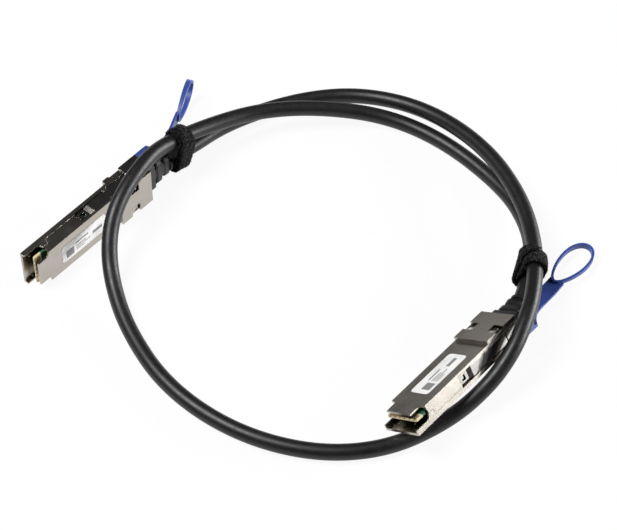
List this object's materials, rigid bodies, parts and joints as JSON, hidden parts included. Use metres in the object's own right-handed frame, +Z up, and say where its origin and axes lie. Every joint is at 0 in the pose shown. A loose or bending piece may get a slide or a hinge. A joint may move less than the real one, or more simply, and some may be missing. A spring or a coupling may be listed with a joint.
{
  "type": "direct attach copper cable",
  "caption": "Direct attach network cable: a round black lead with a flat metal plug, sliding latch and blue pull tab on each end, lying in a tied loop.",
  "frame": {"origin": "on the floor under the middle of the box round both plugs and their pull tabs", "axes": "+Z up from the surface the cable lies on, +X from the left plug towards the right one, +Y away from the viewer"},
  "size_m": [0.2398, 0.199, 0.0287],
  "materials": {
    "metal_shell": "satin nickel plate on a die-cast shell",
    "latch_metal": "bright stamped sheet",
    "screw_metal": "satin",
    "circuit_card": "solder mask",
    "label_sticker": "blank satin sticker",
    "strain_relief": "matt moulding",
    "pull_tab": "satin moulding",
    "cable_jacket": "satin jacket",
    "tie_fabric": "looped hook-and-loop fabric"
  },
  "bodies": {
    "plugs_and_cable": {"left_upper_shell": "metal_shell", "left_lower_shell": "metal_shell", "left_rear_cover": "metal_shell", "left_paddle_card": "circuit_card", "left_latch_keeper": "metal_shell", "left_label": "label_sticker", "left_screw_1": "screw_metal", "left_screw_2": "screw_metal", "left_strain_relief": "strain_relief", "right_upper_shell": "metal_shell", "right_lower_shell": "metal_shell", "right_rear_cover": "metal_shell", "right_paddle_card": "circuit_card", "right_latch_keeper": "metal_shell", "right_label": "label_sticker", "right_screw_1": "screw_metal", "right_screw_2": "screw_metal", "right_strain_relief": "strain_relief", "cable": "cable_jacket", "left_tie": "tie_fabric", "right_tie": "tie_fabric"},
    "left_latch": {"left_latch_slide": "latch_metal", "left_pull_tab": "pull_tab"},
    "right_latch": {"right_latch_slide": "latch_metal", "right_pull_tab": "pull_tab"}
  },
  "joints": [
    {"name": "left_latch_pull", "type": "slide", "parent": "plugs_and_cable", "child": "left_latch", "axis": [0.6534, 0.757, 0], "range_m": [0, 0.0025], "stiffness_N_per_m": 600, "springref_m": -0.002},
    {"name": "right_latch_pull", "type": "slide", "parent": "plugs_and_cable", "child": "right_latch", "axis": [0.6418, 0.7649, -0.0555], "range_m": [0, 0.0025], "stiffness_N_per_m": 600, "springref_m": -0.002}
  ]
}
